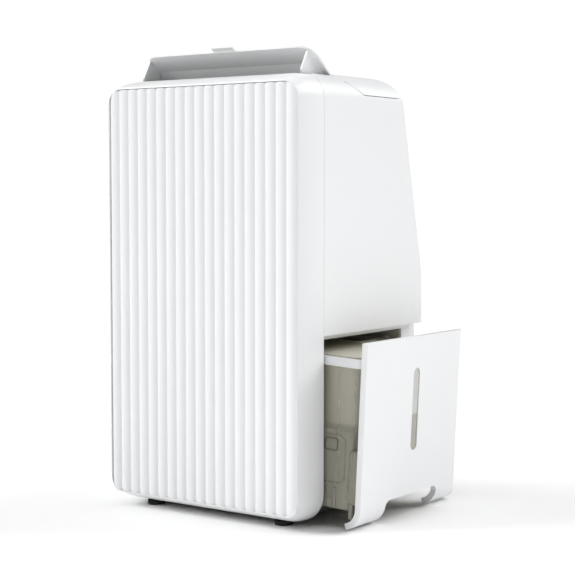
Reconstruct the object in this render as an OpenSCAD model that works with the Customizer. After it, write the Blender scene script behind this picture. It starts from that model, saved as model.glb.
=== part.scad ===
// Tank-drawer dehumidifier with a fluted front, a tilting outlet flap and a side-loading water tank.
// X runs to the tank side, Y to the back and Z up. The modules are drawn about the middle of the
// cabinet, and each piece is then placed so that the origin lies under the middle of the whole object.

/* [Cabinet] */
// Width of the cabinet
body_w = 280; // [272:1:340]
// Depth of the cabinet at floor level
body_d = 264; // [258:1:320]
// Height of the cabinet, feet included
body_h = 500; // [490:1:600]
// Wall of the moulded shells
wall = 2.5; // [2:0.1:3.2]
// Radius of the long edges, seen from the front
edge_r = 32; // [24:1:36]
// Radius of the upright rear corners
rear_r = 16; // [10:1:22]
// Radius of the rear top edge
top_rear_r = 34; // [28:1:40]
// Lean of the upper back, in degrees
back_lean = 12.5; // [8:0.5:14]
// Height at which the back starts to lean
lean_start = 150; // [120:5:170]
// Radius of the bend from the upright to the leaning back
lean_r = 600; // [400:10:650]
// Depth of the front bezel
bezel_d = 43; // [40:1:50]

/* [Front panel] */
// Width of the fluted panel
panel_w = 266; // [250:1:267]
// Height of the fluted panel
panel_h = 469; // [440:1:471]
// Height of the panel's lower edge
panel_z = 17; // [15:1:20]
// Thickness of the panel behind its ribs
panel_t = 3; // [2.4:0.1:3.4]
// Number of ribs
rib_count = 19; // [11:2:29]
// Height of each rib
rib_h = 1.9; // [1:0.1:2.2]
// Corner radius of the panel
panel_r = 12; // [6:1:16]

/* [Outlet flap] */
// Width of the flap
flap_w = 242; // [200:1:244]
// Length of the flap, from its hinge to its free edge
flap_l = 49; // [44:1:52]
// Angle at which the flap stands open, in degrees
flap_open = 38; // [20:1:60]
// Radius of the flap's pivot pins
flap_pin_r = 2.5; // [2:0.1:2.8]

/* [Water tank] */
// Length of the tank, across the cabinet
tank_l = 136; // [120:1:137]
// Height of the tank
tank_h = 166; // [150:1:168]
// Wall of the tank
tank_wall = 2; // [1.6:0.1:2.6]
// Thickness of the tank's outer cover
cover_t = 7; // [5:0.5:7]
// How far the tank is drawn out
tank_out = 55; // [30:1:70]
// How far the drawn tank tips outwards, in degrees
tank_tip = 2.83; // [1:0.01:2.9]
// Width of the level window
window_w = 13.5; // [8:0.5:18]
// Length of the level window
window_l = 94; // [60:1:100]

/* [Carrying handle] */
// Width of the handle's side arms
arm_w = 26; // [24:1:30]
// Height of the handle's lower edge below the top
handle_drop = 23; // [20:1:25]
// Radius of the handle's hinge pins
handle_pin_r = 2.4; // [2:0.1:2.6]

/* [Controls] */
// Number of push buttons
button_count = 5; // [5:1:5]
// Radius of a push button
button_r = 7; // [5:0.5:9]
// Distance between the buttons
button_pitch = 32; // [24:1:38]
// Travel of a button
button_travel = 1; // [0.6:0.1:1.5]

/* [Cooling circuit] */
// Radius of the compressor
comp_r = 50; // [42:1:51]
// Height of the compressor's can
comp_h = 160; // [130:1:162]
// Thickness of each coil, along the air flow
coil_t = 20; // [16:1:21]
// Radius of the copper tubes
tube_r = 3.6; // [3:0.1:4]
// Number of tube runs in each coil
tube_runs = 7; // [5:2:9]

/* [Fan] */
// Radius of the fan wheel
fan_r = 74; // [60:1:76]
// Depth of the fan wheel
fan_d = 42; // [34:1:42]
// Number of fan blades
blade_count = 32; // [20:1:40]
// Radius of the fan shaft
shaft_r = 4; // [3:0.5:5]

/* [Rear fittings] */
// Outer radius of the drain spigot
spigot_r = 5.5; // [5:0.1:6.5]
// Radius of the supply cord's passage
cord_r = 3.6; // [3:0.1:4.2]
// Length of the spigot that a hose is pushed over
spigot_l = 12; // [8:0.5:12]

/* [Fits] */
// Gap between fixed pieces
gap = 0.3; // [0.2:0.05:0.5]
// Radial clearance of a running pin or shaft
run_fit = 0.06; // [0.03:0.01:0.1]
// Gap between a moving piece and the opening it moves in
seam = 0.8; // [0.6:0.1:1.2]

/* [Hidden] */
$fn = 48;

// ---- cabinet
half_w = body_w / 2;
foot_h = 5;
y_front = -body_d / 2;
y_rear = body_d / 2;
y_part = y_front + bezel_d;
rim_x = 5.4;
rim_z = 12;
rim_round = 40;
rim_r = (rim_round * rim_round + rim_x * rim_x) / (2 * rim_x);
big = 2 * (body_w + body_d + body_h);
screw_xs = [-half_w + 30, -half_w + 100, half_w - 100, half_w - 45];
screw_z = 16;

// ---- leaning back: the point where the straight lean starts
lean_y = y_rear - lean_r * (1 - cos(back_lean));
lean_z = lean_start + lean_r * sin(back_lean);
// depth of the back at a height
function back_y(z) =
  z < lean_start ? y_rear
  : z < lean_z ? y_rear - lean_r + sqrt(lean_r * lean_r - pow(z - lean_start, 2))
  : lean_y - (z - lean_z) * tan(back_lean);

// ---- outlet flap
hinge_y = y_part + 38;
hinge_z = body_h - 8;
outlet_half = flap_w / 2 + seam;
outlet_y0 = hinge_y - flap_l - 2;
outlet_y1 = hinge_y + 9;
cheek_x = flap_w / 2 - 7;
cheek_t = 2.5;
plate_t = 2.8;

// ---- carrying handle
pivot_y = y_part + 55;
pivot_z = body_h - 5.2;
eye_r = 4.8;
arm_x = half_w - arm_w;
// the hinge pins end inside the rounded shoulder of the cabinet
pin_x0 = arm_x - 6;
pin_top = pivot_z + handle_pin_r + 0.4 - (body_h - edge_r);
pin_x1 = half_w - edge_r + sqrt(edge_r * edge_r - pin_top * pin_top);
bar_y = back_y(body_h - handle_drop) - 33;
slant_y = pivot_y + 27;
handle_z = body_h - handle_drop;
pocket_half = 52;
pocket_h = 22;

// ---- tank, closed and upright; the drawn position follows from tank_out and tank_tip
cover_x0 = half_w - cover_t;
cover_top = 210.7;
cover_bottom = 4;
cover_r = 24;
tank_x1 = cover_x0 - 7;
tank_x0 = tank_x1 - tank_l;
tank_z0 = 24.5;
tank_z1 = tank_z0 + tank_h;
tank_y0 = y_part + 3.5;
tank_step = 5;
bay_y1 = y_part + 188.5;
tank_y1 = bay_y1 - 7.5;
tank_break = tank_z0 + 93;
bail_x = tank_x0 + 59;
bail_z = tank_z1 - 3.5;
bail_t = 3.6;
bail_h = 10;
bail_gap = 1.4;
bail_pin_r = 2.5;
lid_t = 2.5;
cover_y0 = y_part + seam;
cover_y1 = y_rear - 3;

// ---- origin: on the floor, under the middle of the object with its tank drawn out
screw_head = 1.5;
reach_x = bail_x + tank_out
  + (half_w - bail_x) * cos(tank_tip) + (cover_top - bail_z) * sin(tank_tip);
place = [-(reach_x - half_w) / 2, -screw_head / 2, 0];

// ---- float, on two lugs inside the front wall of the tank
float_x = bail_x + 56;
float_z = 150;
float_len = 34;
float_pin_r = 2;
float_y0 = tank_y0 + tank_step + tank_wall + 3;

// ---- tank bay
bay_floor = 20;
bay_top = 205;
bay_x0 = tank_x0 - 9.5;
bay_x1 = cover_x0 - 11.5;
lip_z = 211.4;

// ---- level window and grip cut-out in the cover
window_y = y_part + 107.5;
window_z1 = cover_top - 36;
grip_y0 = y_part + 53;
grip_y1 = y_part + 165;
grip_z = 30.7;

// ---- inside
coil_w = body_w - 70;
coil_z0 = bay_top + 21;
coil_h = body_h - 310;
coil_z1 = coil_z0 + coil_h;
filter_d = 9;
evap_y1 = back_y(coil_z1) - filter_d - 3.5;
evap_y0 = evap_y1 - coil_t;
cond_y1 = evap_y0 - 4;
cond_y0 = cond_y1 - coil_t;
tray_z = bay_top + wall + 1;
fan_x = -10;
scroll_y0 = outlet_y0 + 4.5;
scroll_y1 = scroll_y0 + fan_d + 14;
scroll_r = fan_r + 17;
scroll_top = body_h - 54;
scroll_mid = (scroll_y0 + scroll_y1) / 2;
fan_z = coil_z0 + coil_h / 2 + 9;
comp_x = -half_w + wall + comp_r + 8;
comp_y = y_rear - comp_r - 42;
comp_z = 22;
pan_z = 8;
pan_wall_z = 22;
stud_pcr = 44;
stud_r = 2.5;
stud_spots = [for (a = [0, 120, 240]) [comp_x + stud_pcr * cos(a), comp_y + stud_pcr * sin(a)]];
acc_x = comp_x - 22;
acc_y = comp_y - comp_r - 23;
acc_r = 19;
mid_evap = evap_y0 + coil_t / 2;
mid_cond = cond_y0 + coil_t / 2;
tube_pitch = coil_h / tube_runs;
tube_end = coil_w / 2 + 4;
pipe_x = coil_w / 2 + 26;
pan_x1 = cover_x0 - 21;
pan_x2 = cover_x0 - 28;
box_x0 = -half_w + wall + 5;
box_x1 = bay_x0 - wall - 6;
box_y0 = y_part + 4;
box_y1 = acc_y - acc_r - 4;
box_z0 = 50;
box_z1 = 190;
spout_x = bay_x0 + 50;
spout_y = cond_y0 + 14;
spout_r = 8;
spigot_x = half_w - 80;
spigot_z = tray_z + 9;
spigot_y = back_y(spigot_z) - 4;
gland_x = -half_w + 50;
gland_z = 60;
grille_z0 = -20;
grille_z1 = body_h - 340;
grille_half = half_w - 30;
panel_half = half_w - 42;
panel_y0 = pivot_y + 4;
panel_y1 = bar_y - 8;
buttons_y = panel_y0 + 17;

// ---- shared shapes

// rounded rectangle between two corners
module rrect(x0, y0, x1, y1, r) {
  translate([x0 + r, y0]) square([x1 - x0 - 2 * r, y1 - y0]);
  translate([x0, y0 + r]) square([x1 - x0, y1 - y0 - 2 * r]);
  for (x = [x0 + r, x1 - r], y = [y0 + r, y1 - r]) translate([x, y]) circle(r);
}

// box between two corners
module block(a, b) {
  translate(a) cube(b - a);
}

// outline in X and Z, extruded along Y from y0
module along_y(y0, len) {
  translate([0, y0 + len, 0]) rotate([90, 0, 0]) linear_extrude(len) children();
}

// outline in Y and Z, extruded along X from x0
module along_x(x0, len) {
  translate([x0, 0, 0]) rotate([90, 0, 90]) linear_extrude(len) children();
}

// round bar between two points
module bar(a, b, r) {
  v = b - a;
  len = norm(v);
  translate(a) rotate([0, acos(v[2] / len), atan2(v[1], v[0])]) cylinder(h = len, r = r);
}

// pipe through a list of points, with ball corners
module pipe(points, r) {
  for (i = [0 : len(points) - 2]) bar(points[i], points[i + 1], r);
  for (i = [1 : len(points) - 2]) translate(points[i]) sphere(r * 1.03);
}

// side outline of the cabinet, t inside its skin; it stands slightly above the flat top, which the
// front outline cuts
module side_outline(t) {
  r = top_rear_r - t;
  zc = body_h - top_rear_r + 0.05;
  yc = back_y(zc) - top_rear_r / cos(back_lean);
  polygon(concat(
    [[y_part - big, 0], [y_rear - t, 0]],
    [for (i = [0 : 5]) let (a = back_lean * i / 5)
      [y_rear - lean_r + (lean_r - t) * cos(a), lean_start + (lean_r - t) * sin(a)]],
    [for (i = [0 : 10]) let (a = back_lean + (90 - back_lean) * i / 10)
      [yc + r * cos(a), zc + r * sin(a)]],
    [[y_part - big, zc + r]]));
}

// solid cabinet behind the bezel, t inside its skin
module cabinet(t) {
  intersection() {
    along_y(y_part + gap / 2 - (t > 0 ? 2 : 0), body_d)
      rrect(-half_w + t, foot_h + t, half_w - t, body_h - t, edge_r - t);
    along_x(-half_w - 1, body_w + 2) side_outline(t);
    for (a = [0, back_lean])
      translate([0, y_rear + 0.05 - lean_r * (1 - cos(a)), lean_start + lean_r * sin(a)])
        rotate([a, 0, 0]) translate([0, 0, -big / 2]) linear_extrude(big)
          rrect(-half_w + t - 0.05, -big, half_w - t + 0.05, -t, rear_r - t);
  }
}

// solid bezel, t inside its skin
module bezel_form(t) {
  steps = [0, 0.8, 3, 8, 15, 25, rim_round, bezel_d];
  hull() for (i = [0 : len(steps) - 1]) {
    d = steps[i];
    in_x = rim_r - sqrt(rim_r * rim_r - pow(max(rim_round - d, 0), 2)) + (i == 0 ? 0.7 : 0);
    in_z = in_x * rim_z / rim_x;
    r = max(edge_r - 2.2 * in_x - t, 6);
    along_y(y_front + min(d + t, bezel_d - 0.02) + (d == bezel_d && t > 0 ? 1 : 0), 0.02)
      rrect(-half_w + in_x + t, foot_h + in_z + t, half_w - in_x - t, body_h - in_z - t, r, $fn = 32);
  }
}

// region of the carrying handle seen from the side, g wider than the handle; the handle's own front
// end is round about its hinge, and its recess has an upright front
module handle_outline(g) {
  r = eye_r + g;
  a0 = g > 0 ? 180 : 90;
  polygon(concat(
    [[g > 0 ? pivot_y - r : pivot_y, body_h + 5]],
    [for (i = [0 : 12]) let (a = a0 + (285 - a0) * i / 12) [pivot_y + r * cos(a), pivot_z + r * sin(a)]],
    [[slant_y - g / 2, handle_z - g], [y_rear + 5, handle_z - g], [y_rear + 5, body_h + 5]]));
}

// U-shaped region of the carrying handle
module handle_zone(g) {
  difference() {
    along_x(-half_w - 1, body_w + 2) handle_outline(g);
    block([-arm_x + g, y_front, 0], [arm_x - g, bar_y - g, body_h + 10]);
  }
}

// place on the leaning back: Y outwards from its surface, Z up along it
module on_back() {
  translate([0, lean_y, lean_z]) rotate([back_lean, 0, 0]) children();
}

// place of the drawn tank: upright closed geometry goes out and tips about the bail's hinge
module drawn() {
  translate([bail_x + tank_out, 0, bail_z]) rotate([0, tank_tip, 0])
    translate([-bail_x, 0, -bail_z]) children();
}

// ---- cabinet pieces

module front_panel() {
  pitch = panel_w / rib_count;
  color("white") {
    intersection() {
      along_y(y_front - 1, 10)
        rrect(-panel_w / 2, panel_z, panel_w / 2, panel_z + panel_h, panel_r);
      translate([0, 0, panel_z]) linear_extrude(panel_h) polygon(concat(
        [[panel_w / 2, y_front + rib_h + panel_t], [-panel_w / 2, y_front + rib_h + panel_t]],
        [for (i = [0 : rib_count - 1], s = [0 : 7]) let (u = s / 7.999)
          [-panel_w / 2 + (i + u) * pitch, y_front + rib_h * pow(2 * u - 1, 2)]],
        [[panel_w / 2, y_front + rib_h]]));
    }
    // snap lugs behind the edges
    for (x = [-1, 1], z = [0.12, 0.5, 0.88])
      translate([x * (panel_w / 2 - 17) - 3, y_front + rib_h + panel_t, panel_z + z * panel_h])
        cube([6, 6, 14]);
  }
}

module front_bezel() {
  seat = y_front + rib_h + panel_t + gap;
  color("whitesmoke") difference() {
    bezel_form(0);
    difference() {
      bezel_form(wall);
      // seat ring behind the panel
      block([-half_w, y_front - 1, 0], [half_w, seat + wall, body_h]);
    }
    block([-half_w + edge_r, y_part - 0.1, foot_h + wall], [half_w - edge_r, y_part + 1, body_h - wall]);
    along_y(y_front - 1, seat + 1 - y_front)
      rrect(-panel_w / 2 - gap, panel_z - gap, panel_w / 2 + gap, panel_z + panel_h + gap, panel_r + gap);
    along_y(y_front - 1, 20)
      rrect(-panel_w / 2 + 12, panel_z + 12, panel_w / 2 - 12, panel_z + panel_h - 12, panel_r);
    // clearance of the panel's snap lugs
    for (x = [-1, 1], z = [0.12, 0.5, 0.88])
      translate([x * (panel_w / 2 - 17) - 4, y_front, panel_z + z * panel_h - 1]) cube([8, 20, 16]);
    // outlet mouth and the dip of the front lip
    block([-outlet_half, outlet_y0, body_h - 30], [outlet_half, y_part + 1, body_h + 10]);
    along_y(y_front - 1, bezel_d + 2) polygon([
      [-outlet_half + 10, body_h - 2.4], [outlet_half - 10, body_h - 2.4],
      [outlet_half + 8, body_h + 1], [-outlet_half - 8, body_h + 1]]);
  }
}

module body_shell() {
  color("white") difference() {
    union() {
      difference() {
        cabinet(0);
        cabinet(wall);
        // open underside
        block([-half_w + wall, y_part - 1, 0], [half_w - wall, y_rear - wall, foot_h + wall + 1]);
      }
      // liners of the handle's recess, finger pocket and drain pocket
      intersection() {
        cabinet(0);
        union() {
          handle_zone(wall + seam);
          block([-pocket_half - wall, bar_y + 2 - wall, handle_z - pocket_h - wall],
            [pocket_half + wall, y_rear, handle_z]);
          block([spigot_x - 16, back_y(spigot_z) - 20, spigot_z - 16],
                [spigot_x + 16, y_rear, spigot_z + 16]);
        }
      }
      // frame and lip of the tank opening, set back behind the cover
      intersection() {
        cabinet(0);
        union() {
          block([bay_x1, y_part, pan_wall_z + gap], [bay_x1 + wall, y_rear, lip_z + wall]);
          block([bay_x1, y_part, lip_z], [half_w, y_rear, lip_z + wall]);
          block([pan_x1 + gap, bay_y1 + wall + 1, pan_wall_z + gap],
                [bay_x1 + 1, y_rear, pan_wall_z + gap + wall]);
        }
      }
    }
    // room of the handle, the fingers and the drain plug
    handle_zone(seam);
    block([-pocket_half, bar_y + 2, handle_z - pocket_h], [pocket_half, y_rear + 5, handle_z + 2]);
    block([spigot_x - 13.5, back_y(spigot_z) - 17.5, spigot_z - 13.5],
      [spigot_x + 13.5, y_rear + 5, spigot_z + 13.5]);
    translate([spigot_x, 0, spigot_z]) rotate([-90, 0, 0]) cylinder(h = y_rear, r = spigot_r + gap);
    // recess of the tank's cover and the bay's mouth
    block([bay_x1 + wall, y_part - 1, 0], [half_w + 1, y_rear + 1, lip_z]);
    block([pan_x1 + gap, y_part - 1, 0], [half_w + 1, y_rear + 1, pan_wall_z + gap]);
    block([bay_x1 - 1, y_part - 1, bay_floor], [half_w + 1, bay_y1, bay_top]);
    // outlet mouth
    block([-outlet_half, y_part - 1, body_h - 10], [outlet_half, outlet_y1, body_h + 10]);
    // seat of the control panel
    translate([0, 0, body_h - 6]) linear_extrude(10)
      rrect(-panel_half - gap, panel_y0 - gap, panel_half + gap, panel_y1 + gap, 6);
    // rear intake
    on_back() block([-grille_half - gap, -20, grille_z0 - gap], [grille_half + gap, 10, grille_z1 + gap]);
    // cord passage and screws
    translate([gland_x, y_rear - 10, gland_z]) rotate([-90, 0, 0]) cylinder(h = 20, r = cord_r + 3 + gap);
    for (x = screw_xs) translate([x, y_rear - 6, screw_z]) rotate([-90, 0, 0]) cylinder(h = 10, r = 2.2);
    // pins of the handle
    for (s = [-1, 1]) translate([s * (pin_x0 - 1), pivot_y, pivot_z]) rotate([0, s * 90, 0])
      cylinder(h = arm_w, r = handle_pin_r);
  }
}

// front outline of the base pan: inside the shell's lower corners, and flush with its open underside
module pan_outline(t) {
  in = wall + gap + t;
  intersection() {
    union() {
      rrect(-half_w + in, foot_h + in, half_w - in, body_h, edge_r - in);
      translate([-half_w + edge_r, foot_h + t]) square([body_w - 2 * edge_r, body_h]);
    }
    translate([-half_w, 0]) square([half_w + pan_x1 - t, pan_wall_z]);
  }
}

module base_pan() {
  y0 = y_part + gap;
  y1 = y_rear - wall - gap;
  color("dimgray") difference() {
    union() {
      // floor and rim
      difference() {
        intersection() {
          along_y(y0, y1 - y0) pan_outline(0);
          linear_extrude(body_h) rrect(-half_w + wall + gap, y0 - 50, half_w, y1, rear_r - wall);
        }
        intersection() {
          along_y(y0 + 3, y1 - y0 - 6) translate([0, 0.01]) pan_outline(3);
          linear_extrude(body_h)
            rrect(-half_w + wall + gap + 3, y0 - 50, half_w - 3, y1 - 3, rear_r - wall - 3);
        }
      }
      // raised floor of the tank bay
      difference() {
        block([bay_x0 - wall, y0, foot_h + 1], [pan_x1, bay_y1 + wall + gap, bay_floor - gap]);
        block([bay_x0 - wall + 3, y0 + 3, foot_h], [pan_x2 - 3, bay_y1 + wall + gap - 3, foot_h + 8]);
      }
      // seats of the screws
      for (x = screw_xs) block([x - 5, y1 - 10, pan_z - 1], [x + 5, y1, pan_wall_z]);
      // seats of the compressor's studs
      for (p = stud_spots) translate([p[0], p[1], pan_z - 1]) cylinder(h = 3, r = 9);
    }
    // cut away under the cover's curl, and room for the bay's walls
    block([pan_x2, y_front, 0], [half_w, y_rear + 5, foot_h + 8]);
    block([bay_x0 - wall - gap, y_part, bay_floor - gap], [half_w, bay_y1 + wall + gap, body_h]);
    for (x = screw_xs) translate([x, y1 - 15, screw_z]) rotate([-90, 0, 0]) cylinder(h = 20, r = 2);
    for (p = stud_spots) translate([p[0], p[1], 0]) {
      cylinder(h = 30, r = stud_r + 0.1);
      translate([0, 0, pan_z + 2]) cylinder(h = 30, r = 9);
    }
  }
}

module feet() {
  color("black") for (x = [-1, 1], y = [y_front + 33, y_rear - 33])
    translate([x * (half_w - 47), y, 0]) cylinder(h = foot_h - 0.05, r = 10);
}

module tank_bay() {
  z1 = bay_top + wall;
  y0 = y_part - 0.5 - wall;
  color("gray") difference() {
    block([bay_x0 - wall, y0, bay_floor], [bay_x1 - gap, bay_y1 + wall, z1]);
    block([bay_x0, y_part - 0.5, bay_floor - 1], [bay_x1 + 5, bay_y1, bay_top]);
    translate([spout_x, spout_y, bay_top - 5]) cylinder(h = 20, r = spout_r + 0.5);
  }
}

// ---- rear intake

module rear_grille() {
  n = 11;
  step = (grille_z1 - grille_z0 - 16) / n;
  color("white") on_back() difference() {
    block([-grille_half, -4, grille_z0], [grille_half, -0.6, grille_z1]);
    for (i = [0 : n - 1], s = [-1, 1])
      translate([s > 0 ? 4 : -grille_half + 9, -10, grille_z0 + 8 + i * step + 2])
        cube([grille_half - 13, 20, step - 4]);
  }
}

module filter_frame() {
  color("gainsboro") on_back() difference() {
    block([-grille_half + 3, -filter_d, grille_z0 + 3], [grille_half - 3, -4.3, grille_z1 - 3]);
    for (s = [-1, 1]) block([s > 0 ? 3 : -grille_half + 8, -20, grille_z0 + 8],
      [s > 0 ? grille_half - 8 : -3, 0, grille_z1 - 8]);
  }
}

module filter_mesh() {
  color("darkgray") on_back() for (s = [-1, 1])
    block([s > 0 ? 3.2 : -grille_half + 8.2, -7.2, grille_z0 + 8.2],
      [s > 0 ? grille_half - 8.2 : -3.2, -6.2, grille_z1 - 8.2]);
}

// ---- outlet

module outlet_frame() {
  x1 = outlet_half - gap;
  x0 = x1 - 2.2;
  y0 = outlet_y0 + gap;
  y1 = outlet_y1 - gap;
  z0 = scroll_top + 2;
  z1 = body_h - 10;
  n = 12;
  color("gainsboro") difference() {
    union() {
      difference() {
        block([-x1, y0, z0], [x1, y1, z1]);
        block([-x0, y0 + 2, z0 - 1], [x0, y1 - 2, z1 + 1]);
      }
      // bars of the grille
      for (i = [1 : n - 1]) translate([-x0 + i * 2 * x0 / n - 1, y0 + 1, z0]) cube([2, y1 - y0 - 2, 5]);
      block([-x0 - 1, (y0 + y1) / 2 - 1, z0], [x0 + 1, (y0 + y1) / 2 + 1, z0 + 5]);
      // ears that hold the flap
      for (s = [-1, 1]) {
        translate([s * (cheek_x + 0.6), hinge_y, hinge_z]) rotate([0, s * 90, 0])
          cylinder(h = 3.6, r = 4.2);
        block([min(s * (cheek_x + 0.6), s * x1), hinge_y - 4, z1 - 14],
          [max(s * (cheek_x + 0.6), s * x1), hinge_y + 4, z1]);
      }
    }
    translate([-x1, hinge_y, hinge_z]) rotate([0, 90, 0]) cylinder(h = 2 * x1, r = flap_pin_r + run_fit);
  }
}

module flap() {
  color("white") translate([0, hinge_y, hinge_z]) rotate([-flap_open, 0, 0]) {
    top = body_h - hinge_z - 0.6;
    // plate, with its finger tab
    translate([0, 0, top - plate_t]) linear_extrude(plate_t) {
      translate([-flap_w / 2, -flap_l / 2]) square([flap_w, flap_l / 2 + 1]);
      rrect(-flap_w / 2, -flap_l, flap_w / 2, 0, 20);
    }
    translate([0, 0, top - 1.4]) linear_extrude(1.8) rrect(-15, -flap_l - 6, 15, -flap_l + 5, 0.8);
    // cheeks and pivot pins
    for (s = [-1, 1]) {
      along_x(s > 0 ? cheek_x - cheek_t : -cheek_x, cheek_t) difference() {
        union() {
          polygon([[0, -4], [-flap_l + 14, -flap_l * 0.5], [-flap_l + 9, -flap_l * 0.5 + 5],
            [-flap_l + 5, top - plate_t + 0.5], [3, top - plate_t + 0.5]]);
          circle(5);
        }
      }
      translate([s * (cheek_x - 1), 0, 0]) rotate([0, s * 90, 0])
        cylinder(h = 5, r = flap_pin_r);
    }
  }
}

// ---- controls

module control_panel() {
  color("whitesmoke") difference() {
    union() {
      translate([0, 0, body_h - wall]) linear_extrude(wall - 0.1)
        rrect(-panel_half, panel_y0, panel_half, panel_y1, 5.7);
      // skirt
      difference() {
        translate([0, 0, body_h - 10]) linear_extrude(9)
          rrect(-panel_half + 1, panel_y0 + 1, panel_half - 1, panel_y1 - 1, 5);
        translate([0, 0, body_h - 11]) linear_extrude(20)
          rrect(-panel_half + 3, panel_y0 + 3, panel_half - 3, panel_y1 - 3, 3);
      }
    }
    for (i = [0 : button_count - 1]) translate([button_at(i), buttons_y, body_h - 12])
      cylinder(h = 20, r = button_r + 0.4);
    // seat of the display window
    translate([0, 0, body_h - 1.6]) linear_extrude(5) rrect(-30, buttons_y + 14, 30, buttons_y + 34, 3);
    translate([0, 0, body_h - 12]) linear_extrude(20) rrect(-26, buttons_y + 17, 26, buttons_y + 31, 2);
  }
}
function button_at(i) = (i - (button_count - 1) / 2) * button_pitch;

module display_window() {
  color("black") translate([0, 0, body_h - 1.6]) linear_extrude(1.4)
    rrect(-29.8, buttons_y + 14.2, 29.8, buttons_y + 33.8, 2.8);
}

module button(i) {
  color("lightgray") translate([button_at(i), buttons_y, 0]) {
    translate([0, 0, body_h - 5]) cylinder(h = 5.6, r = button_r);
    translate([0, 0, body_h - 14.5]) cylinder(h = 10, r = 2.2);
  }
}

module control_board() {
  z = body_h - 21;
  color("darkgreen") {
    translate([0, 0, z]) linear_extrude(1.6)
      rrect(-panel_half + 5, panel_y0 + 3, panel_half - 5, panel_y1 - 4, 3);
    for (i = [0 : button_count - 1]) translate([button_at(i) - 3, buttons_y - 3, z + 1.5])
      cube([6, 6, 21 - 14.5 - 1.5 - button_travel - 0.2]);
    translate([-24, buttons_y + 18, z + 1.5]) cube([48, 11, 12]);
  }
}

// ---- carrying handle

module carry_handle() {
  color("white") difference() {
    intersection() {
      cabinet(0);
      handle_zone(0);
    }
    // hollow underside
    intersection() {
      cabinet(3.2);
      union() {
        for (s = [-1, 1]) block([s > 0 ? arm_x + 3 : -half_w, slant_y + 8, 0],
          [s > 0 ? half_w : -arm_x - 3, bar_y - 2, body_h - 6]);
        block([-half_w, bar_y + 3, 0], [half_w, y_rear, body_h - 6]);
      }
    }
    for (s = [-1, 1]) translate([s * (arm_x - 1), pivot_y, pivot_z]) rotate([0, s * 90, 0])
      cylinder(h = pin_x1 - arm_x + 1.6, r = handle_pin_r + run_fit);
  }
}

module handle_pins() {
  color("silver") for (s = [-1, 1])
    translate([s * pin_x0, pivot_y, pivot_z]) rotate([0, s * 90, 0])
      cylinder(h = pin_x1 - pin_x0, r = handle_pin_r);
}

// ---- cooling circuit

module compressor() {
  r = comp_r;
  color("black") {
    translate([comp_x, comp_y, comp_z]) {
      translate([0, 0, 14]) cylinder(h = comp_h - 34, r = r);
      // domed ends
      translate([0, 0, 14]) intersection() {
        translate([0, 0, r * 1.6 - 14]) sphere(r * 1.6, $fn = 64);
        translate([0, 0, -14]) cylinder(h = 15, r = r);
      }
      translate([0, 0, comp_h - 21]) intersection() {
        translate([0, 0, 20 - r * 1.7]) sphere(r * 1.7, $fn = 64);
        cylinder(h = 22, r = r);
      }
      // foot plate
      difference() {
        translate([0, 0, 6]) linear_extrude(3) circle(r + 3);
        for (a = [0, 120, 240]) rotate(a) translate([stud_pcr, 0, 0]) cylinder(h = 20, r = 4.3);
      }
      // terminal cover
      translate([-11, -11, comp_h - 8]) cube([22, 22, 14]);
    }
  }
}

module accumulator() {
  color("black") translate([acc_x, acc_y, 45]) {
    cylinder(h = 100, r = acc_r);
    for (z = [0, 100]) translate([0, 0, z]) sphere(acc_r);
  }
}

module compressor_grommets() {
  color("dimgray") for (p = stud_spots) translate([p[0], p[1], pan_z + 2 + gap]) difference() {
    union() {
      cylinder(h = comp_z + 6 - pan_z - 2 - 2 * gap, r = 8);
      cylinder(h = comp_z + 9.5 - pan_z - 2 - gap, r = 4);
    }
    translate([0, 0, -1]) cylinder(h = 40, r = stud_r + 0.2);
  }
}

module compressor_studs() {
  color("silver") for (p = stud_spots) translate([p[0], p[1], foot_h + 1])
    cylinder(h = comp_z + 8 - foot_h, r = stud_r);
}

module suction_pipe() {
  z1 = tube_z(tube_runs - 1);
  color("peru") pipe([[acc_x, acc_y, 164.2], [acc_x, acc_y, coil_z0 - 12], [-pipe_x, acc_y, coil_z0 + 8],
    [-pipe_x, acc_y, z1 + 16], [-pipe_x, mid_evap, z1 + 16], [-pipe_x, mid_evap, z1],
    [-tube_end - 0.2, mid_evap, z1]], tube_r);
}

module discharge_pipe() {
  z0 = comp_z + comp_h;
  z1 = tube_z(tube_runs - 1);
  color("peru") pipe([[comp_x + 20, comp_y, z0 - 2], [comp_x + 20, comp_y, z0 + 13],
    [-pipe_x, mid_cond, z0 + 13], [-pipe_x, mid_cond, z1], [-tube_end - 0.2, mid_cond, z1]], tube_r);
}

module capillary_pipe() {
  color("peru") pipe([[tube_end + 0.2, mid_cond, tube_z(0)], [pipe_x, mid_cond, tube_z(0)],
    [pipe_x, mid_cond, tube_z(2)], [pipe_x, mid_evap, tube_z(2)], [pipe_x, mid_evap, tube_z(0)],
    [tube_end + 0.2, mid_evap, tube_z(0)]], 2);
}

// height of a tube run
function tube_z(i) = coil_z0 + (i + 0.5) * tube_pitch;

// block of fins with grooved faces, drilled for the tubes
module fin_block(y0) {
  n = floor(coil_w / 5);
  p = coil_w / n;
  difference() {
    translate([0, y0, coil_z0]) linear_extrude(coil_h) difference() {
      translate([-coil_w / 2, 0]) square([coil_w, coil_t]);
      for (i = [0 : n - 1], y = [-1, coil_t - 3]) translate([-coil_w / 2 + (i + 0.3) * p, y])
        square([p * 0.5, 4]);
    }
    for (i = [0 : tube_runs - 1]) translate([-coil_w / 2 - 1, y0 + coil_t / 2, tube_z(i)])
      rotate([0, 90, 0]) cylinder(h = coil_w + 2, r = tube_r + 0.05);
  }
}

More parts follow.
